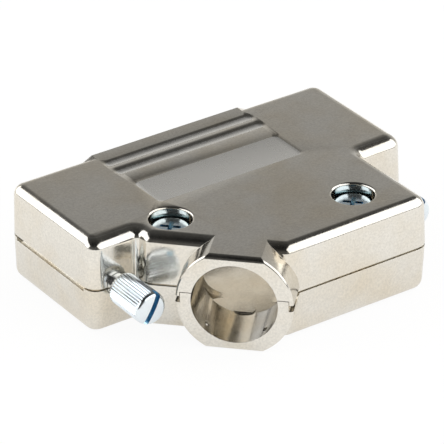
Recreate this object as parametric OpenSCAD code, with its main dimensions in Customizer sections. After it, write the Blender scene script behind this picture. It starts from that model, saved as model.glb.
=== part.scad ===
// Metal hood for a 25-way D-sub connector, with a cable entry at 45 degrees.
// Two die-cast half shells are held by two housing screws, and trap two thumbscrews between them.
// The origin is in the connector face, midway between the thumbscrews. +Y points out of the
// connector face, +Z out of the upper shell, and the cable leaves towards -X -Y.

/* [Hood] */
// Thickness of the end walls beside the connector flange
end_wall = 1.25; // [0.8:0.01:2]
// Thickness of the closed hood
hood_height = 15.3; // [15:0.1:17]
// Depth from the connector face to the rear wall
hood_depth = 38.7; // [37.5:0.1:44]
// Depth of the wide part that holds the connector
wide_depth = 22.2; // [21:0.1:24]
// Width of the shoulders beside the narrow rear part
shoulder = 7.85; // [7.5:0.05:8.2]
// Length that the 45 degree face takes off each side of the left rear corner
angled_leg = 14.6; // [13.4:0.1:15]
// Thickness of the cast walls
wall = 1.6; // [1.4:0.1:1.8]
// Radius of the upright edges
corner_radius = 2.2; // [2:0.1:3]
// Radius of the two inner upright edges at the shoulders
inner_corner_radius = 0.5; // [0.3:0.1:1]
// Radius of the edge round the top and bottom faces
edge_radius = 1.6; // [1:0.1:1.8]
// How much wider that edge is along the two shoulders
shoulder_rounding = 1.5; // [1:0.1:1.6]
// Draft of the outer walls, in degrees
draft = 2.6; // [1:0.1:3]

/* [Joint between the halves] */
// Height of the joint's middle, from the middle of the hood
joint_height = -0.2; // [-0.4:0.1:0]
// Open gap seen round the outside
joint_gap = 0.35; // [0.25:0.05:0.5]
// How much wider the gap is along the two ends
end_gap_drop = 0.5; // [0.2:0.1:0.6]
// Thickness of the upper shell's outer lip
lip_thickness = 0.65; // [0.45:0.05:0.7]
// Height of the lower shell's rim above the middle of the hood
rim_height = 1.2; // [0.8:0.1:1.3]
// Clearance between the rim and its rebate
rim_clearance = 0.08; // [0.05:0.01:0.12]
// How far the upper lip stops above the middle of the hood at the collar
collar_lip_height = 0.6; // [0.1:0.1:0.8]

/* [Cable entry] */
// Diameter of the cable bore
entry_bore = 12.5; // [11:0.1:12.6]
// Outer diameter of the collar
collar_diameter = 17; // [16.6:0.1:17.4]
// How far the collar stands out of the angled face
collar_length = 3.9; // [2.5:0.1:5]
// How far the collar lies from the middle of the angled face, towards the rear wall
collar_shift = 3.2; // [2.5:0.1:3.5]
// Radius of the collar's front edge
collar_edge = 0.4; // [0.2:0.1:0.6]
// Radius of the front edges of the collar's two flats
flat_edge = 0.8; // [0.4:0.1:1]
// Depth of the bore, from the collar's front
bore_depth = 8; // [6.5:0.1:9]
// Distance from the end of the bore to the cable saddle
saddle_gap = 3.5; // [3:0.1:5.5]
// Thickness of the cable saddle
saddle_thickness = 1.4; // [1.4:0.1:2]
// Width of the opening in the cable saddle
saddle_opening = 13.8; // [12:0.1:15]
// Corner radius of that opening
saddle_corner = 3.4; // [2:0.1:4]
// Diameter of the ball of the grip pips in the bore
pip_diameter = 1.5; // [1.2:0.1:2]
// Height of the grip pips
pip_height = 0.2; // [0.1:0.02:0.2]
// Depth of the grip pips, from the collar's front
pip_depth = 1.9; // [1.5:0.1:3]
// Angle of the grip pips from the bore's lowest and highest line
pip_angle = 42; // [30:1:50]

/* [Connector seat] */
// Length of a 25-way connector flange
flange_length = 53.04; // [52.8:0.01:53.1]
// Height of the connector flange
flange_height = 12.55; // [12.3:0.01:12.6]
// Thickness of the connector flange
flange_thickness = 1.2; // [1:0.1:1.5]
// Clearance round the connector flange
flange_clearance = 0.15; // [0.1:0.05:0.2]
// Thickness of the lip in front of the flange
face_lip = 0.9; // [0.8:0.1:1.2]
// How far the lip and the ledge cover the flange
flange_cover = 0.85; // [0.6:0.05:0.9]
// Thickness of the ledge behind the flange
ledge = 1.2; // [1:0.1:1.5]

/* [Thumbscrews] */
// Distance from each end of the flange to the nearer jackscrew
jack_inset = 3; // [2.9:0.01:3.1]
// Diameter of the relief for the screwlock in the connector seat
screw_relief = 5.3; // [5.2:0.05:5.5]
// Diameter of the 4-40 UNC thread
jack_thread = 2.84; // [2.5:0.01:3]
// Length of thread beyond the connector face
thread_out = 3; // [2:0.1:5]
// Length of thread behind the connector face
thread_in = 4.8; // [4.2:0.1:4.9]
// Diameter of the relieved neck behind the thread
neck_diameter = 2.1; // [1.9:0.05:2.2]
// Length of the relieved neck
neck_length = 7; // [6:0.1:8]
// Diameter of the shank
shank_diameter = 3.5; // [3.2:0.1:3.8]
// Radial running clearance of the shank and the neck
running_clearance = 0.06; // [0.03:0.01:0.08]
// Gap between the shoulder and the head
head_gap = 1.25; // [0.5:0.05:2]
// Diameter over the knurl
head_diameter = 5; // [4.6:0.1:5.6]
// Length of the knurled part
knurl_length = 7.1; // [5:0.1:8]
// Number of knurl ridges
knurl_count = 36; // [24:1:40]
// Depth of the knurl
knurl_depth = 0.16; // [0.1:0.01:0.2]
// Diameter of the smooth end
end_diameter = 4.8; // [4:0.1:4.8]
// Length of the smooth end
end_length = 0.5; // [0.5:0.1:3]
// Radius of the rounding on the smooth end
end_radius = 0.5; // [0.3:0.1:0.5]
// Width of the screwdriver slot
slot_width = 0.8; // [0.6:0.1:1]
// Depth of the screwdriver slot
slot_depth = 1.5; // [0.8:0.1:2]
// Angle at which the slot rests, from the length of the hood
slot_rest = 61; // [0:1:180]
// Thickness of the wall that traps the neck
trap_wall = 1.4; // [1:0.1:1.6]
// Distance of that wall behind the connector face
trap_distance = 5.8; // [5.6:0.1:6.4]
// Length of the shank bore in the shoulder
shank_bore_length = 4.6; // [3:0.1:6]
// Thickness of the rib between each thumbscrew and the wiring space
channel_rib = 1.2; // [1:0.1:1.4]

/* [Housing screws] */
// Thread diameter of the housing screws
screw_thread = 3; // [2.5:0.1:3.2]
// Diameter of the screw heads
screw_head = 5.5; // [5.2:0.1:5.6]
// Height of the screw heads
screw_head_height = 2; // [1.6:0.1:2.4]
// Depth of the screw heads below the top face
screw_sink = 1.4; // [0.8:0.1:1.6]
// Length of the screws below the head
screw_length = 9; // [8:0.1:10]
// Width of the cross recess over its wings
recess_width = 3; // [2.6:0.1:3.2]
// Depth of the cross recess
recess_depth = 1.4; // [1:0.1:1.5]
// Diameter of the counterbores
counterbore = 6.3; // [6:0.1:6.5]
// Radius of the rounded rim of the counterbores
counterbore_rim = 0.35; // [0.2:0.05:0.4]
// Clearance round the screws in the upper shell
screw_clearance = 0.15; // [0.1:0.05:0.25]
// Clearance where metal faces meet
seat_clearance = 0.02; // [0.01:0.01:0.03]
// Wall of the screw bosses round the counterbore
boss_wall = 0.8; // [0.6:0.1:1]
// Distance of the left screw from the left side of the rear part
left_screw_inset = 5.85; // [5.4:0.05:6.5]
// Distance of the left screw in front of the shoulders
left_screw_forward = 0.2; // [0:0.1:0.6]
// Distance of the right screw from the right side of the rear part
right_screw_inset = 8.75; // [7:0.05:10]
// Distance of the right screw from the rear wall
right_screw_forward = 7.4; // [6:0.1:9]

/* [Top face] */
// Length of the label recess
label_length = 26.3; // [20:0.1:30]
// Width of the label recess
label_width = 7.7; // [6:0.1:8]
// Depth of the label recess
label_depth = 0.2; // [0.1:0.05:0.4]
// Run of the label recess's sloping sides
label_run = 0.45; // [0.2:0.05:0.6]
// Corner radius of the label recess
label_corner = 0.8; // [0.5:0.1:1.5]
// Distance of the label recess from the connector face
label_distance = 9.8; // [9:0.1:11]
// Length of the finger grooves
groove_length = 27; // [20:0.1:32]
// Width of the finger grooves
groove_width = 2.3; // [1.6:0.1:2.5]
// Depth of the finger grooves
groove_depth = 0.25; // [0.2:0.05:0.4]
// Distance of the first groove from the connector face
groove_distance = 3.5; // [3:0.1:4]
// Distance between the grooves
groove_pitch = 2.85; // [2.6:0.05:3]
// Length of the top of the sharp rib at the connector face
rib_length = 26.2; // [20:0.1:30]
// How far the rib's middle lies to the right of the hood's middle
rib_offset = -0.2; // [-0.5:0.1:0.5]
// Run of the sloping ends of the sharp rib at the connector face
rib_ramp = 3.2; // [1.5:0.1:4]

/* [Hidden] */
$fn = 48;

nickel = [0.72, 0.70, 0.66];
zinc = [0.72, 0.80, 0.86];

corner_steps = 7;
edge_steps = 7;
over = 1;                                   // how far a cut runs past the metal
reach = 2 * hood_depth;                     // clear of the hood on every side

top = hood_height / 2;
roof = top - wall;                          // inner face of the top and bottom walls
lip_end = joint_height + joint_gap / 2;     // lower edge of the upper shell
ledge_top = joint_height - joint_gap / 2;   // upper edge of the lower shell
half_length = flange_length / 2 + flange_clearance + end_wall;
half_rear = half_length - shoulder;
angled_start = hood_depth - angled_leg;
jack = flange_length / 2 - jack_inset;
bore_r = entry_bore / 2;
collar_r = collar_diameter / 2;
bore_end = bore_depth - collar_length;      // measured inwards from the angled face
saddle_start = bore_end + saddle_gap;
pocket_half = collar_r + 2.4;               // half the width of the saddle wall
pad_r = 1.6;
pad_height = 0.1;
pad_inset = 1;

boss_r = counterbore / 2 + boss_wall;
head_top = top - screw_sink;
head_seat = head_top - screw_head_height;
left_screw = [-half_rear + left_screw_inset, -wide_depth + left_screw_forward];
right_screw = [half_rear - right_screw_inset, -hood_depth + right_screw_forward];
screws = [left_screw, right_screw];

seat_half_length = flange_length / 2 + flange_clearance;
seat_half_height = flange_height / 2 + flange_clearance;
seat_start = face_lip;
seat_end = face_lip + flange_thickness + 2 * flange_clearance;
mouth_half_length = flange_length / 2 - flange_cover;
mouth_half_height = flange_height / 2 - flange_cover;
ledge_end = seat_end + ledge;

head_start = wide_depth + head_gap;
channel_side = half_rear - 0.2;             // inner face of the ribs beside the thumbscrews

// Corners of the hood in plan, anticlockwise: x, y and the radius of the upright edge
CORNERS = [
    [half_length, 0, corner_radius],
    [-half_length, 0, corner_radius],
    [-half_length, -wide_depth, corner_radius],
    [-half_rear, -wide_depth, inner_corner_radius],
    [-half_rear, -angled_start, corner_radius],
    [-half_rear + angled_leg, -hood_depth, corner_radius],
    [half_rear, -hood_depth, corner_radius],
    [half_rear, -wide_depth, inner_corner_radius],
    [half_length, -wide_depth, corner_radius],
];
// A point that sees the whole outline
hood_middle = [0, -0.7 * wide_depth];
// Which walls have draft: the wall that starts at each corner. The connector face has none.
DRAFTED = [0, 1, 1, 1, 1, 1, 1, 1, 1];
// Width of the rounded edge on the same walls, against the edge radius
ROUNDED = [1, 1, shoulder_rounding, 1, 1, 1, 1, shoulder_rounding, 1];
EVEN = [1, 1, 1, 1, 1, 1, 1, 1, 1];

function plan_xy(p) = [p.x, p.y];
function unit(v) = v / norm(v);
function left_of(v) = [-v.y, v.x];

// The plan outline, moved inwards by `inset` times each wall's share in `rounded`, and by `lean`
// on the drafted walls
function outline(corners, drafted, rounded, inset, lean, steps) = [
    for (i = [0 : len(corners) - 1])
        let (
            count = len(corners),
            before = (i + count - 1) % count,
            here = plan_xy(corners[i]),
            d1 = unit(here - plan_xy(corners[before])),
            d2 = unit(plan_xy(corners[(i + 1) % count]) - here),
            n1 = left_of(d1),
            n2 = left_of(d2),
            side = sign(cross(d1, d2)),
            r = max(corners[i][2] - side * (inset + lean), 0.15),
            off1 = inset * rounded[before] + lean * drafted[before] + side * r,
            off2 = inset * rounded[i] + lean * drafted[i] + side * r,
            centre = here + d1 * off2 / (d1 * n2) + d2 * off1 / (d2 * n1),
            start = atan2(-side * n1.y, -side * n1.x),
            turn = side * acos(d1 * d2)
        )
        for (k = [0 : steps])
            centre + r * [cos(start + turn * k / steps), sin(start + turn * k / steps)]
];

function at_height(points, z) = [for (p = points) [p.x, p.y, z]];

function hood_ring(z, inset) =
    at_height(outline(CORNERS, DRAFTED, ROUNDED, inset, abs(z) * tan(draft), corner_steps), z);

// Rings from the joint up to the top face: the drafted wall, then the rounded edge
function hood_rings(start) = concat(
    [hood_ring(start, 0)],
    [for (k = [0 : edge_steps])
        let (a = 90 * k / edge_steps)
        hood_ring(top - edge_radius * (1 - sin(a)), edge_radius * (1 - cos(a)))]
);

// Solid skinned over rings that have equal numbers of points and rise along Z. Each end is a fan
// from a point that sees the whole ring.
module loft(rings, centre) {
    count = len(rings[0]);
    last = (len(rings) - 1) * count;
    low = len(rings) * count;
    sides = [
        for (j = [0 : len(rings) - 2], i = [0 : count - 1])
            let (
                a = j * count + i,
                b = j * count + (i + 1) % count
            )
            each [[a, a + count, b + count], [a, b + count, b]]
    ];
    ends = [
        for (i = [0 : count - 1])
            let (next = (i + 1) % count)
            each [[low, i, next], [low + 1, last + next, last + i]]
    ];
    middles = [
        [centre.x, centre.y, rings[0][0].z],
        [centre.x, centre.y, rings[len(rings) - 1][0].z],
    ];
    polyhedron(concat([for (ring = rings) each ring], middles), concat(sides, ends), convexity = 8);
}

// Local frame of the cable entry: -Y points out along the bore, and Y = 0 is the angled face
module at_entry() {
    middle = [-half_rear + angled_leg / 2, -hood_depth + angled_leg / 2];
    translate([middle.x, middle.y, 0])
        rotate([0, 0, -45])
            translate([collar_shift, 0, 0])
                children();
}

// Cylinder along Y, from y1 to y2
module rod_y(r, y1, y2) {
    translate([0, y2, 0])
        rotate([90, 0, 0])
            cylinder(r = r, h = y2 - y1);
}

module box(low, high) {
    translate(low)
        cube(high - low);
}

module hood_plan(inset) {
    polygon(outline(CORNERS, DRAFTED, EVEN, inset, 0, corner_steps));
}

// Plan of the joint, with the two cheeks of the collar
module joint_plan(inset, front) {
    hood_plan(inset);
    at_entry()
        translate([-(collar_r - inset), -front])
            square([2 * (collar_r - inset), front + wall]);
}

// Plan of the hollow space: what it leaves standing are the ribs, bosses and webs
module hollow_plan() {
    difference() {
        hood_plan(wall);
        for (s = [-1, 1]) {
            channel_plan(s);
        }
        for (at = screws) {
            translate(at)
                circle(r = boss_r);
        }
        at_entry() {
            translate([-collar_r, -wall])
                square([2 * collar_r, bore_end + wall]);
            translate([-pocket_half, saddle_start])
                square([2 * pocket_half, saddle_thickness]);
        }
    }
}

// The rib beside one thumbscrew, the wall that traps its neck and the block that guides its shank
module channel_plan(s) {
    outer = half_length;
    mirror([s < 0 ? 1 : 0, 0]) {
        translate([channel_side, -wide_depth])
            square([channel_rib, wide_depth - seat_end]);
        translate([channel_side, -trap_distance - trap_wall])
            square([outer - channel_side, trap_wall]);
        translate([channel_side, -wide_depth])
            square([outer - channel_side, shank_bore_length]);
    }
}

// The collar before its bore: a cylinder with a rounded front edge, cut flat by the hood's faces
module collar() {
    at_entry()
        intersection() {
            translate([0, bore_end, 0])
                rotate([90, 0, 0])
                    rotate_extrude()
                        difference() {
                            square([collar_r, bore_depth]);
                            translate([collar_r - collar_edge, bore_depth - collar_edge])
                                difference() {
                                    square(collar_edge + over);
                                    circle(r = collar_edge);
                                }
                        }
            collar_flats();
        }
}

// Slab between the hood's top and bottom faces, with its two front edges rounded
module collar_flats() {
    rotate([90, 0, 90])
        linear_extrude(2 * collar_r + 2 * over, center = true)
            polygon(concat(
                [for (k = [0 : 4])
                    let (a = 90 * k / 4)
                    [-collar_length + flat_edge * (1 - cos(a)), top - flat_edge * (1 - sin(a))]],
                [[bore_end + over, top], [bore_end + over, -top]],
                [for (k = [4 : -1 : 0])
                    let (a = 90 * k / 4)
                    [-collar_length + flat_edge * (1 - cos(a)), -top + flat_edge * (1 - sin(a))]]
            ));
}

// The rib along the connector face, which fills the rounded edge out to a sharp one
module face_rib() {
    half = rib_length / 2;
    translate([rib_offset, 0, top])
        rotate([90, 0, 0])
            linear_extrude(edge_radius + 0.4)
                polygon([
                    [-half - rib_ramp, -edge_radius],
                    [half + rib_ramp, -edge_radius],
                    [half, 0],
                    [-half, 0],
                ]);
}

// Everything that both halves have cut out of them
module common_cuts() {
    box([-mouth_half_length, -seat_start - over, -mouth_half_height],
        [mouth_half_length, over, mouth_half_height]);
    box([-seat_half_length, -seat_end, -seat_half_height],
        [seat_half_length, -seat_start, seat_half_height]);
    box([-mouth_half_length, -ledge_end, -mouth_half_height],
        [mouth_half_length, -seat_end + 0.1, mouth_half_height]);
    at_entry() {
        bore_cut();
        saddle_cut();
    }
    for (s = [-1, 1]) {
        translate([s * jack, 0, 0]) {
            rod_y(shank_diameter / 2 + running_clearance, -wide_depth - over,
                  -wide_depth + shank_bore_length + 0.1);
            rod_y(neck_diameter / 2 + running_clearance, -trap_distance - trap_wall - 0.1,
                  -trap_distance + 0.1);
            rod_y(screw_relief / 2, -thread_in, over);
        }
    }
}

// Opening in the saddle: a rectangle with round corners that reaches from the floor to the roof
module saddle_cut() {
    x = saddle_opening / 2 - saddle_corner;
    z = roof - saddle_corner;
    translate([0, saddle_start + saddle_thickness + 0.1, 0])
        rotate([90, 0, 0])
            linear_extrude(saddle_thickness + 0.2)
                union() {
                    square([2 * x, 2 * roof], center = true);
                    square([saddle_opening, 2 * z], center = true);
                    for (sx = [-1, 1], sz = [-1, 1]) {
                        translate([sx * x, sz * z])
                            circle(r = saddle_corner);
                    }
                }
}

// Straight sides below the axis, so that the upper shell can be lowered over the thumbscrews
module assembly_slots() {
    for (s = [-1, 1]) {
        translate([s * jack, 0, 0]) {
            slot_below(shank_diameter / 2 + running_clearance, -wide_depth - over,
                       -wide_depth + shank_bore_length + 0.1);
            slot_below(neck_diameter / 2 + running_clearance, -trap_distance - trap_wall - 0.1,
                       -trap_distance + 0.1);
        }
    }
}

module slot_below(r, y1, y2) {
    box([-r, y1, lip_end - over], [r, y2, 0]);
}

// The cable bore, less the four grip pips that stay standing on its wall
module bore_cut() {
    r = bore_r - pip_height + pip_diameter / 2;
    difference() {
        rod_y(bore_r, -collar_length - over, bore_end + 0.1);
        for (sx = [-1, 1], sz = [-1, 1]) {
            translate([sx * r * sin(pip_angle), -collar_length + pip_depth, sz * r * cos(pip_angle)])
                sphere(d = pip_diameter);
        }
    }
}

// Counterbore with a rounded rim, and the clearance hole below it
module counterbore_cut() {
    r = counterbore / 2;
    rotate_extrude()
        polygon(concat(
            [[0, lip_end - over],
             [screw_thread / 2 + screw_clearance, lip_end - over],
             [screw_thread / 2 + screw_clearance, head_seat],
             [r, head_seat]],
            [for (k = [0 : 4])
                let (a = 90 * k / 4)
                [r + counterbore_rim * (1 - cos(a)), top - counterbore_rim * (1 - sin(a))]],
            [[r + counterbore_rim, top + over], [0, top + over]]
        ));
}

// Corners of the label recess in plan
function label_corners(grow) =
    let (
        x = label_length / 2 + grow,
        y1 = -label_distance + grow,
        y2 = -label_distance - label_width - grow
    )
    [[x, y1, label_corner], [-x, y1, label_corner], [-x, y2, label_corner], [x, y2, label_corner]];

function label_ring(z, grow) =
    at_height(outline(label_corners(grow), [0, 0, 0, 0], EVEN, 0, 0, 4), z);

// Shallow recess with sloping sides for a label
module label_cut() {
    loft([
        label_ring(top - label_depth, -label_run),
        label_ring(top, 0),
        label_ring(top + over, 0),
    ], [0, -label_distance - label_width / 2]);
}

// Scooped finger grooves, each a sunk cylinder with ball ends
module groove_cuts() {
    r = (pow(groove_width / 2, 2) + pow(groove_depth, 2)) / (2 * groove_depth);
    half = groove_length / 2 - groove_width / 2;
    for (i = [0, 1]) {
        translate([0, -groove_distance - i * groove_pitch, top + r - groove_depth]) {
            translate([-half, 0, 0])
                rotate([0, 90, 0])
                    cylinder(r = r, h = 2 * half);
            for (s = [-1, 1]) {
                translate([s * half, 0, 0])
                    sphere(r = r);
            }
        }
    }
}

module upper_shell() {
    color(nickel)
        upper_casting();
}

module upper_casting() {
    difference() {
        union() {
            loft(hood_rings(lip_end), hood_middle);
            intersection() {
                collar();
                box([-reach, -reach, collar_lip_height],
                    [reach, 0, top + over]);
            }
            face_rib();
        }
        translate([0, 0, lip_end - over])
            linear_extrude(roof - lip_end + over)
                hollow_plan();
        // rebate for the lower shell's rim
        translate([0, 0, lip_end - over])
            linear_extrude(rim_height + rim_clearance - lip_end + over)
                difference() {
                    joint_plan(lip_thickness, collar_length + over);
                    hood_plan(wall + rim_clearance);
                }
        common_cuts();
        assembly_slots();
        for (at = screws) {
            translate(at)
                counterbore_cut();
        }
        label_cut();
        groove_cuts();
    }
}

module lower_shell() {
    color(nickel)
        union() {
            lower_casting();
            ejector_pad();
        }
}

// Faint round mark on the floor between the bore and the saddle
module ejector_pad() {
    at_entry()
        difference() {
            translate([0, bore_end + pad_inset, -roof - wall / 2])
                cylinder(r = pad_r, h = wall / 2 + pad_height);
            rod_y(bore_r, -collar_length, bore_end);
        }
}

module lower_casting() {
    difference() {
        union() {
            mirror([0, 0, 1])
                loft(hood_rings(-ledge_top), hood_middle);
            intersection() {
                collar();
                box([-reach, -reach, -top - over],
                    [reach, 0, ledge_top]);
            }
            // rim that the upper shell's lip closes over
            translate([0, 0, ledge_top - wall])
                linear_extrude(rim_height - ledge_top + wall)
                    difference() {
                        joint_plan(lip_thickness + rim_clearance, collar_length);
                        hood_plan(wall);
                    }
            for (at = screws) {
                translate([at.x, at.y, -roof])
                    cylinder(r = boss_r, h = roof + lip_end - seat_clearance);
            }
        }
        translate([0, 0, -roof])
            linear_extrude(roof + top)
                hollow_plan();
        common_cuts();
        end_gap_cuts();
        for (at = screws) {
            translate([at.x, at.y, head_seat - screw_length - 0.5])
                cylinder(r = screw_thread / 2 + seat_clearance, h = screw_length);
        }
    }
}

// Lower ledge along the straight part of the two ends, where the gap is wider
module end_gap_cuts() {
    for (s = [-1, 1]) {
        translate([s * (half_length + over - lip_thickness / 2), -wide_depth / 2, ledge_top - end_gap_drop / 2 + over / 2])
            cube([lip_thickness + 2 * over, wide_depth - 2 * corner_radius, end_gap_drop + over], center = true);
    }
}

// Housing screw with a cross recess, standing on its head's seat
module housing_screw(at) {
    edge = 0.35;
    r = screw_head / 2;
    color(zinc)
        translate([at.x, at.y, head_seat + seat_clearance])
            difference() {
                rotate_extrude()
                    polygon(concat(
                        [[0, -screw_length],
                         [screw_thread / 2 - edge, -screw_length],
                         [screw_thread / 2, -screw_length + edge],
                         [screw_thread / 2, 0],
                         [r, 0]],
                        [for (k = [0 : 4])
                            let (a = 90 * k / 4)
                            [r - edge * (1 - cos(a)), screw_head_height - edge * (1 - sin(a))]],
                        [[0, screw_head_height]]
                    ));
                cross_recess();
            }
}

// Four wings round a tapering core
module cross_recess() {
    wing = 0.62;
    core = 1.7;
    translate([0, 0, screw_head_height - recess_depth])
        for (a = [45, 135]) {
            rotate([0, 0, a])
                rotate([90, 0, 0])
                    translate([0, 0, -wing / 2])
                        linear_extrude(wing)
                            polygon([
                                [-core / 2, 0], [core / 2, 0],
                                [recess_width / 2, recess_depth], [recess_width / 2, recess_depth + over],
                                [-recess_width / 2, recess_depth + over], [-recess_width / 2, recess_depth],
                            ]);
        }
}

// Thumbscrew on the Z axis, with Z = 0 in the connector face and the head towards +Z
module thumbscrew_upright() {
    tip = 0.4;
    neck_start = thread_in;
    shank_start = thread_in + neck_length;
    knurl_end = head_start + knurl_length;
    head_end = knurl_end + end_length;
    end_r = end_diameter / 2;
    rotate_extrude()
        polygon([
            [0, -thread_out],
            [jack_thread / 2 - tip, -thread_out],
            [jack_thread / 2, -thread_out + tip],
            [jack_thread / 2, neck_start],
            [neck_diameter / 2, neck_start],
            [neck_diameter / 2, shank_start],
            [shank_diameter / 2 - tip, shank_start],
            [shank_diameter / 2, shank_start + tip],
            [shank_diameter / 2, head_start + tip],
            [0, head_start + tip],
        ]);
    knurl(head_start, knurl_end);
    difference() {
        rotate_extrude()
            polygon(concat(
                [[0, knurl_end - tip], [end_r, knurl_end - tip]],
                [for (k = [0 : 6])
                    let (a = 90 * k / 6)
                    [end_r - end_radius * (1 - cos(a)), head_end - end_radius * (1 - sin(a))]],
                [[0, head_end + 0.15]]
            ));
        rotate([0, 0, slot_rest])
            box([-head_diameter, -slot_width / 2, head_end - slot_depth],
                [head_diameter, slot_width / 2, head_end + over]);
    }
}

// Straight knurl with bevelled ends
module knurl(start, end) {
    r = head_diameter / 2;
    bevel = 0.35;
    intersection() {
        translate([0, 0, start])
            linear_extrude(end - start)
                polygon([
                    for (i = [0 : 2 * knurl_count - 1])
                        let (
                            a = 180 * i / knurl_count,
                            ridge = r - (i % 2) * knurl_depth
                        )
                        ridge * [cos(a), sin(a)]
                ]);
        rotate_extrude()
            polygon([
                [0, start], [r - bevel, start], [r + 0.01, start + bevel],
                [r + 0.01, end - bevel], [r - bevel, end], [0, end],
            ]);
    }
}

// Thumbscrew in its place on the side s of the hood
module thumbscrew(s) {
    color(zinc)
        translate([s * jack, 0, 0])
            rotate([90, 0, 0])
                thumbscrew_upright();
}

module housing_screw_left() {
    housing_screw(left_screw);
}

module housing_screw_right() {
    housing_screw(right_screw);
}

module thumbscrew_left() {
    thumbscrew(-1);
}

module thumbscrew_right() {
    thumbscrew(1);
}

upper_shell();
lower_shell();
housing_screw_left();
housing_screw_right();
thumbscrew_left();
thumbscrew_right();
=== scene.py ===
"""Looks of a metal D-sub hood: plated castings, turned screws and a plain studio, built round the CAD frame."""

import math

import bmesh
import bpy
from bpy.props import FloatProperty, FloatVectorProperty, IntProperty, PointerProperty
from mathutils import Matrix, Vector


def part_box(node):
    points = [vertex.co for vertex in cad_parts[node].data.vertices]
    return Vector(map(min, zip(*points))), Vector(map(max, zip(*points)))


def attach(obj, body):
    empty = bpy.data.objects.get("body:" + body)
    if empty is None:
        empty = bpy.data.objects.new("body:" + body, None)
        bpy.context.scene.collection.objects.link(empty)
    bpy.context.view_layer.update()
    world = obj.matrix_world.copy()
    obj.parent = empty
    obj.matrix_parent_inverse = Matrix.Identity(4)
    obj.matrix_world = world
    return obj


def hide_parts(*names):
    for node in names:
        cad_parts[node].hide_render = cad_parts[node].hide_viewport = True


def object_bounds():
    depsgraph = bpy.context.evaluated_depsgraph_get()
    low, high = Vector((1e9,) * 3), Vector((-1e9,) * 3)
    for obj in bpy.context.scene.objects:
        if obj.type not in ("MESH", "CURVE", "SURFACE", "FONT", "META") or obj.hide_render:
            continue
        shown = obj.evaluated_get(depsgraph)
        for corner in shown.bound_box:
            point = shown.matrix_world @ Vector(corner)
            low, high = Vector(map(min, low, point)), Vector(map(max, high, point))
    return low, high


bl_info = {
    "name": "D-sub hood looks",
    "version": (1, 0, 0),
    "blender": (4, 5, 0),
    "location": "View3D > Sidebar > Hood",
    "description": "Plated half shells, turned screws and a plain studio for a D-sub hood",
    "category": "Object",
}

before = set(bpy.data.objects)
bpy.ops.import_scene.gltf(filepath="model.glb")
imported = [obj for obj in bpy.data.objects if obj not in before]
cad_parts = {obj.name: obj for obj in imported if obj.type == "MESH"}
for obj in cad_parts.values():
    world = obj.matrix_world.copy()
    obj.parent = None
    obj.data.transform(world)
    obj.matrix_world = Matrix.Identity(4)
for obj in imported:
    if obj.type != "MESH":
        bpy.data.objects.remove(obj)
CAD_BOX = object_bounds()
BOX_MIDDLE = Vector(((CAD_BOX[0][i] + CAD_BOX[1][i]) / 2 for i in range(3)))

MM = 0.001
SIDES = {"left": "thumbscrew_left", "right": "thumbscrew_right"}
SHELLS = ["upper_shell", "lower_shell"]
HOUSING_SCREWS = ["housing_screw_left", "housing_screw_right"]


def node_middle(name):
    """Middle of a CAD node's box."""
    low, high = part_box(name)
    return (low + high) / 2


def node_span(name):
    """Lengths of a CAD node's box."""
    low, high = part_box(name)
    return high - low


HEAD_DIAMETER = node_span("thumbscrew_left").x
SCREW_END = -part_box("thumbscrew_left")[0].y
SCREW_TIP = -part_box("thumbscrew_left")[1].y
HEAD_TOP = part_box("housing_screw_left")[1].z
HOOD_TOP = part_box("upper_shell")[1].z


def length(name, text, default, low=0.0, high=1.0):
    """A size in metres that the sidebar shows with its unit."""
    return FloatProperty(
        name=name,
        description=text,
        default=default,
        min=low,
        max=high,
        unit="LENGTH",
        precision=5,
    )


def colour(name, text, default):
    """A plain colour."""
    return FloatVectorProperty(
        name=name,
        description=text,
        default=default,
        size=3,
        min=0.0,
        max=1.0,
        subtype="COLOR",
    )


def share(name, text, default):
    """A number from 0 to 1."""
    return FloatProperty(
        name=name,
        description=text,
        default=default,
        min=0.0,
        max=1.0,
        subtype="FACTOR",
    )


def angle(name, text, degrees):
    """An angle, kept in radians."""
    return FloatProperty(
        name=name,
        description=text,
        default=math.radians(degrees),
        subtype="ANGLE",
    )


class NickelFinish(bpy.types.PropertyGroup):
    """Satin nickel plate on the two castings."""

    plate: colour("Plate", "Colour of the nickel plate", (0.78, 0.755, 0.70))
    warm: colour("Warm patches", "Colour of the slightly yellow patches", (0.74, 0.68, 0.575))
    roughness: share("Roughness", "Roughness of the plate", 0.13)
    recess: colour("Recess", "Colour of the plate in the label recess and the grooves", (0.97, 0.96, 0.93))
    recess_roughness: share("Recess roughness", "How much rougher the plate is there", 0.14)
    side_grain: share("Side grain", "Height of the grain on upright faces, against the flat ones", 0.35)
    grain_size: length("Grain size", "Width of the cast grain", 0.42 * MM)
    grain_depth: length("Grain depth", "Height of the cast grain", 0.0036 * MM)
    ripple_size: length("Ripple size", "Width of the soft ripples", 5.0 * MM)
    ripple_depth: length("Ripple depth", "Height of the soft ripples", 0.012 * MM)
    edge: length("Edge radius", "Rounding of the cast edges", 0.09 * MM)


class ZincFinish(bpy.types.PropertyGroup):
    """Bright blue zinc plate on the screws."""

    plate: colour("Plate", "Colour of the zinc plate", (0.80, 0.87, 0.92))
    # painted shade: a darker, deeper blue painted into the slots and recesses, where shade falls
    film: colour("Film", "Colour of the blue film in slots and recesses", (0.42, 0.66, 0.82))
    roughness: share("Roughness", "Roughness of the plate", 0.16)
    mark_pitch: length("Tool marks", "Distance between the turning marks", 0.12 * MM)
    mark_depth: length("Mark depth", "Height of the turning marks", 0.0012 * MM)
    edge: length("Edge radius", "Rounding of the edges", 0.05 * MM)


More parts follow.
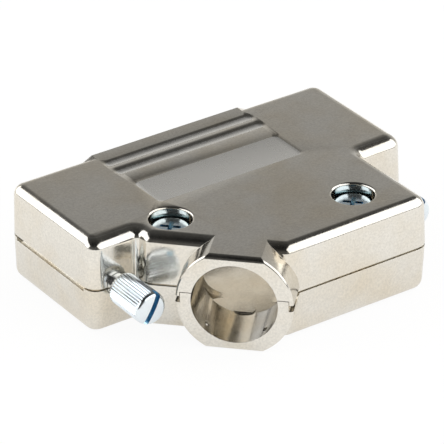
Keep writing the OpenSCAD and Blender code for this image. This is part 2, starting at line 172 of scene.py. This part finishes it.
class ThumbscrewSizes(bpy.types.PropertyGroup):
    """Turned form of the two thumbscrews, measured back from the connector face."""

    thread: length("Thread diameter", "Outer diameter of the thread", 2.84 * MM)
    pitch: length("Thread pitch", "Distance between the thread's turns", 0.635 * MM)
    thread_end: length("Thread end", "End of the thread", 4.8 * MM)
    neck: length("Neck diameter", "Diameter of the relieved neck", 2.1 * MM)
    neck_end: length("Neck end", "End of the relieved neck", 11.8 * MM)
    shank: length("Shank diameter", "Diameter of the shank", 3.5 * MM)
    head_start: length("Head start", "Start of the knurled head", 23.45 * MM)
    knurl_end: length("Knurl end", "End of the knurl", 30.55 * MM)
    knurl_depth: length("Knurl depth", "Depth of the knurl", 0.16 * MM)
    knurl_count: IntProperty(name="Knurl ridges", description="Number of ridges", default=36, min=12, max=60)
    face: length("End face diameter", "Diameter of the smooth end", 4.8 * MM)
    face_round: length("End rounding", "Rounding of the end's rim", 0.5 * MM)
    dome: length("End dome", "Height of the domed end face", 0.15 * MM)
    slot: length("Slot width", "Width of the screwdriver slot", 0.8 * MM)
    slot_depth: length("Slot depth", "Depth of the screwdriver slot", 1.5 * MM)
    slot_angle: angle("Slot angle", "Where the slot rests, from the length of the hood", 61.0)


class StudioSettings(bpy.types.PropertyGroup):
    """Floor, soft lamps, surroundings and camera."""

    floor: colour("Floor", "Colour of the floor", (0.86, 0.845, 0.82))
    floor_width: length("Floor width", "Width of the floor", 3.0, 0.1, 10.0)
    lamp_distance: length("Lamp distance", "Distance from the hood to each soft lamp", 0.45, 0.1, 5.0)
    lamp_level: FloatProperty(
        name="Lamp level",
        description="Brightness of the soft lamps' faces, where 1 shows as white",
        default=1.6,
        min=0.0,
        max=20.0,
    )
    aim: FloatVectorProperty(
        name="Aim",
        description="What the camera looks at, from the middle of the hood's box",
        default=(-0.25 * MM, 1.62 * MM, -0.2 * MM),
        size=3,
        subtype="TRANSLATION",
    )
    camera_turn: angle("Camera turn", "Turn of the camera round the hood", -35.104)
    camera_rise: angle("Camera rise", "Height of the camera above the floor, as an angle", 29.846)
    camera_distance: length("Camera distance", "Distance from the camera to its aim", 0.51477, 0.05, 5.0)
    shift_x: FloatProperty(name="Shift across", description="Sideways shift of the lens", default=-0.0281)
    shift_y: FloatProperty(name="Shift up", description="Upward shift of the lens", default=0.0095)
    camera_lens: FloatProperty(
        name="Lens",
        description="Focal length",
        default=285.1,
        min=20.0,
        max=400.0,
        subtype="DISTANCE_CAMERA",
    )


# Node trees


def add_node(tree, kind, settings=None, **inputs):
    """Adds a node. Inputs are values, or output sockets to link; i0, i1 … name a socket by its number."""
    new = tree.nodes.new(kind)
    for name, value in (settings or {}).items():
        setattr(new, name, value)
    for name, value in inputs.items():
        if name[0] == "i" and name[1:].isdigit():
            socket = new.inputs[int(name[1:])]
        else:
            socket = new.inputs[name.replace("_", " ")]
        if isinstance(value, bpy.types.NodeSocket):
            tree.links.new(value, socket)
        else:
            socket.default_value = value
    return new


def calculate(tree, operation, first, second=0.0):
    """One Math node's result."""
    return add_node(tree, "ShaderNodeMath", {"operation": operation}, i0=first, i1=second).outputs[0]


def noise(tree, place, size, detail=2.0, roughness=0.5):
    """Noise from 0 to 1 with features of that size in metres."""
    made = add_node(
        tree, "ShaderNodeTexNoise", Vector=place, Scale=1 / size, Detail=detail, Roughness=roughness
    )
    return made.outputs["Fac"]


def between(tree, value, low, high, start=0.0, end=1.0):
    """Value, spread from low … high to start … end."""
    made = add_node(
        tree, "ShaderNodeMapRange", Value=value, From_Min=low, From_Max=high, To_Min=start, To_Max=end
    )
    return made.outputs["Result"]


def mix_colour(tree, amount, first, second):
    """Blend of two colours."""
    made = add_node(tree, "ShaderNodeMix", {"data_type": "RGBA"})
    for number, value in ((0, amount), (6, first), (7, second)):
        if isinstance(value, bpy.types.NodeSocket):
            tree.links.new(value, made.inputs[number])
        else:
            made.inputs[number].default_value = value
    return made.outputs[2]


def solid(rgb):
    """A colour with its alpha."""
    return (rgb[0], rgb[1], rgb[2], 1.0)


def new_material(name):
    """An empty node material: its tree, its shader and its coordinates."""
    material = bpy.data.materials.new(name)
    material.use_nodes = True
    tree = material.node_tree
    tree.nodes.clear()
    shader = add_node(tree, "ShaderNodeBsdfPrincipled", Metallic=1.0)
    output = add_node(tree, "ShaderNodeOutputMaterial")
    tree.links.new(shader.outputs[0], output.inputs["Surface"])
    place = add_node(tree, "ShaderNodeTexCoord").outputs["Object"]
    return material, tree, shader, place


def recess_share(tree, place, upward):
    """1 on the flat floors of the label recess and the grooves, and 0 on the rest of the casting."""
    height = add_node(tree, "ShaderNodeSeparateXYZ", Vector=place).outputs[2]
    sunk = calculate(
        tree,
        "MULTIPLY",
        between(tree, height, HOOD_TOP - 0.1 * MM, HOOD_TOP - 0.18 * MM),
        between(tree, height, HOOD_TOP - 0.34 * MM, HOOD_TOP - 0.28 * MM),
    )
    return calculate(tree, "MULTIPLY", sunk, between(tree, upward, 0.95, 0.985))


def nickel_plate(name, finish):
    """Satin nickel over a casting: fine grain, soft ripples, warm patches and a paler recess."""
    material, tree, shader, place = new_material(name)
    patches = noise(tree, place, 9 * MM, 3.0)
    tint = mix_colour(tree, between(tree, patches, 0.42, 0.72), solid(finish.plate), solid(finish.warm))
    specks = noise(tree, place, 0.3 * MM, 1.0)
    shade = between(tree, specks, 0.25, 0.75, 0.9, 1.04)
    speckled = add_node(
        tree, "ShaderNodeVectorMath", {"operation": "SCALE"}, i0=tint, Scale=shade
    ).outputs[0]
    streaks = noise(tree, place, 2.2 * MM, 4.0, 0.6)
    dull = between(tree, streaks, 0.3, 0.7, finish.roughness - 0.03, finish.roughness + 0.06)
    facing = add_node(tree, "ShaderNodeNewGeometry").outputs["True Normal"]
    upward = add_node(tree, "ShaderNodeSeparateXYZ", Vector=facing).outputs[2]
    recess = recess_share(tree, place, upward)
    extra = calculate(tree, "MULTIPLY", recess, finish.recess_roughness)
    tree.links.new(calculate(tree, "ADD", dull, extra), shader.inputs["Roughness"])
    pale = mix_colour(tree, recess, speckled, solid(finish.recess))
    tree.links.new(pale, shader.inputs["Base Color"])
    flat = calculate(tree, "ABSOLUTE", upward)
    coarse = between(tree, flat, 0.2, 0.9, finish.side_grain, 1.0)
    soft_edge = add_node(tree, "ShaderNodeBevel", {"samples": 6}, Radius=finish.edge).outputs[0]
    ripple = add_node(
        tree,
        "ShaderNodeBump",
        Height=noise(tree, place, finish.ripple_size, 1.0),
        Distance=finish.ripple_depth,
        Normal=soft_edge,
    ).outputs[0]
    grain = add_node(
        tree,
        "ShaderNodeBump",
        Height=noise(tree, place, finish.grain_size, 2.0, 0.55),
        Distance=calculate(tree, "MULTIPLY", coarse, finish.grain_depth),
        Normal=ripple,
    ).outputs[0]
    tree.links.new(grain, shader.inputs["Normal"])
    return material


def zinc_plate(name, finish, film, marks=None):
    """Bright zinc, with painted shade in a deeper blue mixed in. The third argument, the amount of painted
    shade, is 0 … 1 or None; marks gives the turning marks' height.
    """
    material, tree, shader, place = new_material(name)
    clouds = noise(tree, place, 1.6 * MM, 2.0)
    pale = mix_colour(
        tree, between(tree, clouds, 0.4, 0.75, 0.0, 0.5), solid(finish.plate), (0.74, 0.77, 0.86, 1.0)
    )
    amount = film(tree, place) if callable(film) else film
    # painted shade: the plate's colour is mixed towards the darker blue by that amount
    tree.links.new(mix_colour(tree, amount, pale, solid(finish.film)), shader.inputs["Base Color"])
    wear = noise(tree, place, 0.5 * MM, 3.0)
    dull = between(tree, wear, 0.3, 0.7, finish.roughness - 0.04, finish.roughness + 0.08)
    tree.links.new(dull, shader.inputs["Roughness"])
    soft_edge = add_node(tree, "ShaderNodeBevel", {"samples": 6}, Radius=finish.edge).outputs[0]
    height = marks(tree, place) if marks else noise(tree, place, 0.25 * MM, 2.0)
    bump = add_node(
        tree, "ShaderNodeBump", Height=height, Distance=finish.mark_depth, Normal=soft_edge
    ).outputs[0]
    tree.links.new(bump, shader.inputs["Normal"])
    return material


# Shapes


def smooth_by_angle(limit):
    """Geometry nodes that join split facets and shade them smooth, with edges sharper than limit kept."""
    group = bpy.data.node_groups.new("smooth_casting", "GeometryNodeTree")
    group.interface.new_socket("Geometry", in_out="INPUT", socket_type="NodeSocketGeometry")
    group.interface.new_socket("Geometry", in_out="OUTPUT", socket_type="NodeSocketGeometry")
    entry = group.nodes.new("NodeGroupInput")
    leave = group.nodes.new("NodeGroupOutput")
    joined = group.nodes.new("GeometryNodeMergeByDistance")
    joined.inputs["Distance"].default_value = 0.0005 * MM
    plain = group.nodes.new("GeometryNodeRemoveAttribute")
    plain.inputs["Name"].default_value = "custom_normal"
    faces = group.nodes.new("GeometryNodeSetShadeSmooth")
    faces.domain = "FACE"
    faces.inputs["Shade Smooth"].default_value = True
    turn = group.nodes.new("GeometryNodeInputMeshEdgeAngle")
    soft = group.nodes.new("FunctionNodeCompare")
    soft.operation = "LESS_EQUAL"
    soft.inputs[1].default_value = limit
    edges = group.nodes.new("GeometryNodeSetShadeSmooth")
    edges.domain = "EDGE"
    for start, end in (
        (entry.outputs[0], plain.inputs["Geometry"]),
        (plain.outputs[0], joined.inputs["Geometry"]),
        (joined.outputs[0], faces.inputs["Geometry"]),
        (faces.outputs[0], edges.inputs["Geometry"]),
        (turn.outputs["Unsigned Angle"], soft.inputs[0]),
        (soft.outputs[0], edges.inputs["Shade Smooth"]),
        (edges.outputs[0], leave.inputs[0]),
    ):
        group.links.new(start, end)
    return group


def shade_casting(piece, group):
    """Smooth facets, with the flat faces' own directions kept."""
    piece.modifiers.new("smooth", "NODES").node_group = group
    weighted = piece.modifiers.new("weighted", "WEIGHTED_NORMAL")
    weighted.keep_sharp = True
    weighted.mode = "FACE_AREA"
    weighted.weight = 100


def set_material(piece, *materials):
    """Gives a piece these materials and no others."""
    piece.data.materials.clear()
    for material in materials:
        piece.data.materials.append(material)


def thread_depth(turn):
    """Share of the thread's depth at a share of its pitch: flat crest and root, sloping flanks."""
    crest, root = 0.14, 0.14
    rise = (1 - crest - root) / 2
    turn %= 1.0
    if turn < crest:
        return 0.0
    if turn < crest + rise:
        return (turn - crest) / rise
    if turn < crest + rise + root:
        return 1.0
    return (1.0 - turn) / rise


def knurl_depth(turn):
    """Share of the knurl's depth at a share of one ridge: a narrow rounded groove between wide crests."""
    return 0.5 - 0.5 * math.cos(2 * math.pi * turn)


def thumbscrew_stations(sizes):
    """Places along the screw: distance behind the connector face, radius, and its share of thread and knurl."""
    thread_r = sizes.thread / 2
    neck_r = sizes.neck / 2
    shank_r = sizes.shank / 2
    head_r = HEAD_DIAMETER / 2
    face_r = sizes.face / 2
    chamfer = 0.4 * MM
    stations = []
    step = sizes.pitch / 8
    count = round((sizes.thread_end - SCREW_TIP) / step)
    for i in range(count + 1):
        at = SCREW_TIP + (sizes.thread_end - SCREW_TIP) * i / count
        stations.append((at, min(thread_r, thread_r - chamfer + at - SCREW_TIP), 1.0, 0.0))
    for at, r in (
        (sizes.thread_end + 0.03 * MM, neck_r),
        (sizes.thread_end + 0.2 * MM, neck_r),
        (sizes.neck_end - 0.05 * MM, neck_r),
        (sizes.neck_end, neck_r + 0.05 * MM),
        (sizes.neck_end, shank_r - chamfer),
        (sizes.neck_end + chamfer, shank_r),
        (sizes.neck_end + chamfer + 0.2 * MM, shank_r),
        (sizes.head_start - 0.3 * MM, shank_r),
        (sizes.head_start - 0.05 * MM, shank_r),
        (sizes.head_start, shank_r + 0.05 * MM),
    ):
        stations.append((at, r, 0.0, 0.0))
    bevel = 0.35 * MM
    for at, r, amount in (
        (sizes.head_start, head_r - bevel, 0.0),
        (sizes.head_start + 0.04 * MM, head_r - 0.8 * bevel, 0.0),
        (sizes.head_start + 0.5 * bevel, head_r - 0.4 * bevel, 0.45),
        (sizes.head_start + bevel, head_r, 1.0),
        (sizes.head_start + 2 * bevel, head_r, 1.0),
        (sizes.knurl_end - 2 * bevel, head_r, 1.0),
        (sizes.knurl_end - bevel, head_r, 1.0),
        (sizes.knurl_end - 0.4 * bevel, head_r - 0.1 * bevel, 0.6),
        (sizes.knurl_end, face_r, 0.0),
    ):
        stations.append((at, r, 0.0, amount))
    rim = SCREW_END - sizes.dome
    for k in range(1, 7):
        a = math.pi / 2 * k / 6
        stations.append(
            (
                rim - sizes.face_round * (1 - math.sin(a)),
                face_r - sizes.face_round * (1 - math.cos(a)),
                0.0,
                0.0,
            )
        )
    for k in range(1, 5):
        part = k / 5
        stations.append(
            (rim + sizes.dome * (1 - (1 - part) ** 2), (face_r - sizes.face_round) * (1 - part), 0.0, 0.0)
        )
    return stations


def thumbscrew_mesh(name, sizes):
    """The turned screw along -Y from the origin in the connector face, before its slot is cut."""
    per_ridge = 8
    around = sizes.knurl_count * per_ridge
    depth_of_thread = 0.54 * sizes.pitch
    mesh = bmesh.new()
    rings = []
    for at, r, thread, knurl in thumbscrew_stations(sizes):
        ring = []
        for i in range(around):
            a = 2 * math.pi * i / around
            depth = 0.0
            if thread:
                depth = depth_of_thread * thread_depth(at / sizes.pitch + i / around)
                depth = min(depth, r - (sizes.thread / 2 - depth_of_thread))
            if knurl:
                depth = knurl * sizes.knurl_depth * knurl_depth(i / per_ridge)
            ring.append(mesh.verts.new(((r - depth) * math.cos(a), -at, (r - depth) * math.sin(a))))
        rings.append(ring)
    for ring, following in zip(rings, rings[1:]):
        for i in range(around):
            j = (i + 1) % around
            mesh.faces.new((ring[i], ring[j], following[j], following[i]))
    for ring, y in ((rings[0], -SCREW_TIP), (rings[-1], -SCREW_END)):
        middle = mesh.verts.new((0, y, 0))
        for i in range(around):
            j = (i + 1) % around
            mesh.faces.new((ring[j], ring[i], middle) if ring is rings[0] else (ring[i], ring[j], middle))
    bmesh.ops.recalc_face_normals(mesh, faces=mesh.faces)
    made = bpy.data.meshes.new(name)
    mesh.to_mesh(made)
    mesh.free()
    return made


def cutter_block(low, high, turn):
    """A block round the Y axis, turned by that angle, to cut a slot with."""
    mesh = bmesh.new()
    corners = [
        mesh.verts.new((x, y, z))
        for x in (low[0], high[0])
        for y in (low[1], high[1])
        for z in (low[2], high[2])
    ]
    for quad in ((0, 1, 3, 2), (4, 6, 7, 5), (0, 4, 5, 1), (2, 3, 7, 6), (0, 2, 6, 4), (1, 5, 7, 3)):
        mesh.faces.new([corners[i] for i in quad])
    bmesh.ops.recalc_face_normals(mesh, faces=mesh.faces)
    made = bpy.data.meshes.new("slot_cutter")
    mesh.to_mesh(made)
    mesh.free()
    made.transform(Matrix.Rotation(-turn, 4, "Y"))
    cutter = bpy.data.objects.new("slot_cutter", made)
    bpy.context.scene.collection.objects.link(cutter)
    return cutter


def cut_away(piece, cutter):
    """Takes the cutter's shape out of the piece, and keeps the cutter's material on the new faces."""
    cut = piece.modifiers.new("slot", "BOOLEAN")
    cut.operation = "DIFFERENCE"
    cut.solver = "EXACT"
    cut.material_mode = "TRANSFER"
    cut.object = cutter
    bpy.context.view_layer.update()
    result = bpy.data.meshes.new_from_object(piece.evaluated_get(bpy.context.evaluated_depsgraph_get()))
    piece.modifiers.clear()
    before = piece.data
    piece.data = result
    bpy.data.meshes.remove(before)
    block = cutter.data
    bpy.data.objects.remove(cutter)
    bpy.data.meshes.remove(block)
    for polygon in result.polygons:
        polygon.use_smooth = True
    result.set_sharp_from_angle(angle=math.radians(38))


class HOOD_OT_shells(bpy.types.Operator):
    """Plates the two cast half shells"""

    bl_idname = "hood.shells"
    bl_label = "Half shells"

    def execute(self, context):
        group = smooth_by_angle(math.radians(24))
        for name in SHELLS:
            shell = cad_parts[name]
            set_material(shell, nickel_plate(name + "_nickel", context.scene.hood_nickel))
            shade_casting(shell, group)
        return {"FINISHED"}


class HOOD_OT_housing_screws(bpy.types.Operator):
    """Plates the two screws that hold the halves together"""

    bl_idname = "hood.housing_screws"
    bl_label = "Housing screws"

    def execute(self, context):
        group = smooth_by_angle(math.radians(28))
        for name in HOUSING_SCREWS:
            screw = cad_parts[name]
            middle = node_middle(name)

            # painted shade: full darker blue below the head's top face, in the cross recess and down the head,
            # and a third of it on the top
            def film(tree, place):
                height = add_node(tree, "ShaderNodeSeparateXYZ", Vector=place).outputs[2]
                return between(tree, height, HEAD_TOP - 0.1 * MM, HEAD_TOP - 0.02 * MM, 1.0, 0.35)

            def marks(tree, place, middle=middle):
                flat = add_node(
                    tree,
                    "ShaderNodeMapping",
                    Vector=place,
                    Location=(-middle.x, -middle.y, 0.0),
                    Scale=(1.0, 1.0, 0.0),
                ).outputs[0]
                radius = add_node(
                    tree, "ShaderNodeVectorMath", {"operation": "LENGTH"}, i0=flat
                ).outputs["Value"]
                pitch = context.scene.hood_zinc.mark_pitch
                wave = calculate(tree, "SINE", calculate(tree, "MULTIPLY", radius, 2 * math.pi / pitch))
                return calculate(tree, "MULTIPLY", wave, 0.5)

            set_material(screw, zinc_plate(name + "_zinc", context.scene.hood_zinc, film, marks))
            shade_casting(screw, group)
        return {"FINISHED"}


class HOOD_OT_thumbscrews(bpy.types.Operator):
    """Turns the two knurled thumbscrews, with their threads and screwdriver slots"""

    bl_idname = "hood.thumbscrews"
    bl_label = "Thumbscrews"

    def execute(self, context):
        sizes = context.scene.hood_thumbscrew
        finish = context.scene.hood_zinc
        for side, name in SIDES.items():
            piece = bpy.data.objects.new(
                side + "_thumbscrew_turned", thumbscrew_mesh(side + "_thumbscrew_turned", sizes)
            )
            context.scene.collection.objects.link(piece)
            plate = zinc_plate(side + "_thumbscrew_zinc", finish, 0.0)
            # painted shade: the slot's faces are given this darker blue material
            film = zinc_plate(side + "_thumbscrew_film", finish, 0.9)
            set_material(piece, plate, film)
            reach = HEAD_DIAMETER
            cutter = cutter_block(
                (-reach, -SCREW_END - MM, -sizes.slot / 2),
                (reach, -SCREW_END + sizes.dome + sizes.slot_depth, sizes.slot / 2),
                sizes.slot_angle,
            )
            set_material(cutter, film)
            cut_away(piece, cutter)
            if len(piece.data.materials) < 2:
                raise RuntimeError("the slot lost its own material")
            piece.location = (node_middle(name).x, 0.0, 0.0)
            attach(piece, side + "_thumbscrew")
            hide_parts(name)
        return {"FINISHED"}


# Studio

# What each soft lamp covers, in degrees seen from the hood. Turn 0 is +Y and turn 90 is +X.
LAMPS = {
    "lamp_behind_left": {"turn": -49, "rise": 25, "wide": 82, "high": 42},
    "lamp_front_right": {"turn": 137, "rise": 33, "wide": 88, "high": 56},
}
# Brightness of the mirrored studio at each height: 0 is level and 1 is overhead
WALL_LEVELS = (
    (0.0, 0.1),
    (0.03, 0.12),
    (0.06, 0.62),
    (0.3, 0.5),
    (0.5, 0.33),
    (0.62, 0.14),
    (0.75, 0.06),
    (1.0, 0.05),
)


def soft_lamp(name, settings, turn, rise, wide, high):
    """A soft lamp that covers an angle of the surroundings, seen from the hood."""
    turn, rise = math.radians(turn), math.radians(rise)
    way = Vector((math.sin(turn) * math.cos(rise), math.cos(turn) * math.cos(rise), math.sin(rise)))
    light = bpy.data.lights.new(name, "AREA")
    light.shape = "RECTANGLE"
    light.size = 2 * settings.lamp_distance * math.tan(math.radians(wide) / 2)
    light.size_y = 2 * settings.lamp_distance * math.tan(math.radians(high) / 2)
    light.energy = settings.lamp_level * math.pi * light.size * light.size_y
    lamp = bpy.data.objects.new(name, light)
    lamp.location = BOX_MIDDLE + way * settings.lamp_distance
    lamp.rotation_euler = way.to_track_quat("Z", "Y").to_euler()
    lamp.visible_camera = False
    bpy.context.scene.collection.objects.link(lamp)
    return lamp


def surroundings(world):
    """White behind the hood, even light on plain surfaces, and a dim graded studio in what metal mirrors."""
    world.use_nodes = True
    tree = world.node_tree
    tree.nodes.clear()
    way = add_node(tree, "ShaderNodeTexCoord").outputs["Generated"]
    parts = add_node(tree, "ShaderNodeSeparateXYZ", Vector=way)
    height = parts.outputs[2]
    wall = add_node(tree, "ShaderNodeValToRGB", Fac=height)
    ramp = wall.color_ramp
    for at, level in WALL_LEVELS:
        if at in (0.0, 1.0):
            element = ramp.elements[-1 if at else 0]
        else:
            element = ramp.elements.new(at)
        element.color = (level, level * 0.985, level * 0.95, 1.0)
    # the wall behind is lit, and the side that the camera stands on is dim
    back = add_node(
        tree, "ShaderNodeVectorMath", {"operation": "DOT_PRODUCT"}, i0=way, i1=(0.45, 0.89, 0.0)
    ).outputs["Value"]
    lit = between(tree, back, -0.35, 0.45, 0.16, 1.0)
    studio = add_node(
        tree, "ShaderNodeVectorMath", {"operation": "SCALE"}, i0=wall.outputs[0], Scale=lit
    ).outputs[0]
    rays = add_node(tree, "ShaderNodeLightPath")
    mirrored = mix_colour(tree, rays.outputs["Is Glossy Ray"], (0.85, 0.85, 0.85, 1.0), studio)
    shown = mix_colour(tree, rays.outputs["Is Camera Ray"], mirrored, (1.0, 1.0, 1.0, 1.0))
    background = add_node(tree, "ShaderNodeBackground", Color=shown)
    output = add_node(tree, "ShaderNodeOutputWorld")
    tree.links.new(background.outputs[0], output.inputs["Surface"])


def floor_material(settings):
    """Pale matt floor that shows white, keeps a trace of the hood's shadow, and mirrors as white in metal."""
    material = bpy.data.materials.new("studio_floor")
    material.use_nodes = True
    tree = material.node_tree
    tree.nodes.clear()
    place = add_node(tree, "ShaderNodeTexCoord").outputs["Object"]
    cloud = noise(tree, place, 60 * MM, 2.0)
    tone = mix_colour(tree, between(tree, cloud, 0.3, 0.7), solid(settings.floor), (0.84, 0.83, 0.81, 1.0))
    matt = add_node(tree, "ShaderNodeBsdfDiffuse", Color=tone)
    rays = add_node(tree, "ShaderNodeLightPath")
    glow = mix_colour(tree, rays.outputs["Is Camera Ray"], (1.0, 0.985, 0.955, 1.0), (1.0, 1.0, 1.0, 1.0))
    bright = add_node(tree, "ShaderNodeEmission", Color=glow, Strength=1.0)
    seen = calculate(tree, "MULTIPLY", rays.outputs["Is Camera Ray"], 0.93)
    mirrored = calculate(tree, "MULTIPLY", rays.outputs["Is Glossy Ray"], 0.55)
    mixed = add_node(
        tree,
        "ShaderNodeMixShader",
        i0=calculate(tree, "ADD", seen, mirrored),
        i1=matt.outputs[0],
        i2=bright.outputs[0],
    )
    output = add_node(tree, "ShaderNodeOutputMaterial")
    tree.links.new(mixed.outputs[0], output.inputs["Surface"])
    return material


class HOOD_OT_studio(bpy.types.Operator):
    """Sets the floor, the soft lamps, the surroundings and the camera"""

    bl_idname = "hood.studio"
    bl_label = "Studio"

    def execute(self, context):
        scene = context.scene
        settings = scene.hood_studio
        half = settings.floor_width / 2
        level = CAD_BOX[0][2]
        mesh = bpy.data.meshes.new("studio_floor")
        mesh.from_pydata(
            [(-half, -half, level), (half, -half, level), (half, half, level), (-half, half, level)],
            [],
            [(0, 1, 2, 3)],
        )
        floor = bpy.data.objects.new("studio_floor", mesh)
        scene.collection.objects.link(floor)
        set_material(floor, floor_material(settings))

        for name, cover in LAMPS.items():
            soft_lamp(name, settings, **cover)
        scene.world = bpy.data.worlds.new("studio")
        surroundings(scene.world)
        scene.view_settings.view_transform = "Standard"

        turn, rise = settings.camera_turn, settings.camera_rise
        back = Vector((math.sin(turn) * math.cos(rise), -math.cos(turn) * math.cos(rise), math.sin(rise)))
        lens = bpy.data.cameras.new("camera")
        lens.sensor_width = 36.0
        lens.lens = settings.camera_lens
        lens.shift_x = settings.shift_x
        lens.shift_y = settings.shift_y
        lens.clip_start = 0.01
        camera = bpy.data.objects.new("camera", lens)
        camera.location = BOX_MIDDLE + Vector(settings.aim) + back * settings.camera_distance
        camera.rotation_euler = back.to_track_quat("Z", "Y").to_euler()
        scene.collection.objects.link(camera)
        scene.camera = camera
        return {"FINISHED"}


class HOOD_PT_panel(bpy.types.Panel):
    """Lists the pieces of the hood and their settings"""

    bl_idname = "HOOD_PT_panel"
    bl_label = "D-sub hood"
    bl_space_type = "VIEW_3D"
    bl_region_type = "UI"
    bl_category = "Hood"

    def draw(self, context):
        for operator, settings in STEPS.items():
            box = self.layout.box()
            box.operator(operator)
            for name in settings:
                group = getattr(context.scene, name)
                for field in group.__annotations__:
                    box.prop(group, field)


STEPS = {
    "hood.shells": ["hood_nickel"],
    "hood.housing_screws": ["hood_zinc"],
    "hood.thumbscrews": ["hood_thumbscrew"],
    "hood.studio": ["hood_studio"],
}
SETTINGS = {
    "hood_nickel": NickelFinish,
    "hood_zinc": ZincFinish,
    "hood_thumbscrew": ThumbscrewSizes,
    "hood_studio": StudioSettings,
}
CLASSES = (
    *SETTINGS.values(),
    HOOD_OT_shells,
    HOOD_OT_housing_screws,
    HOOD_OT_thumbscrews,
    HOOD_OT_studio,
    HOOD_PT_panel,
)


def register():
    for item in CLASSES:
        bpy.utils.register_class(item)
    for name, group in SETTINGS.items():
        setattr(bpy.types.Scene, name, PointerProperty(type=group))


def unregister():
    for name in SETTINGS:
        delattr(bpy.types.Scene, name)
    for item in reversed(CLASSES):
        bpy.utils.unregister_class(item)


def main():
    register()
    bpy.ops.hood.shells()
    bpy.ops.hood.housing_screws()
    bpy.ops.hood.thumbscrews()
    bpy.ops.hood.studio()


if __name__ == "__main__":
    main()
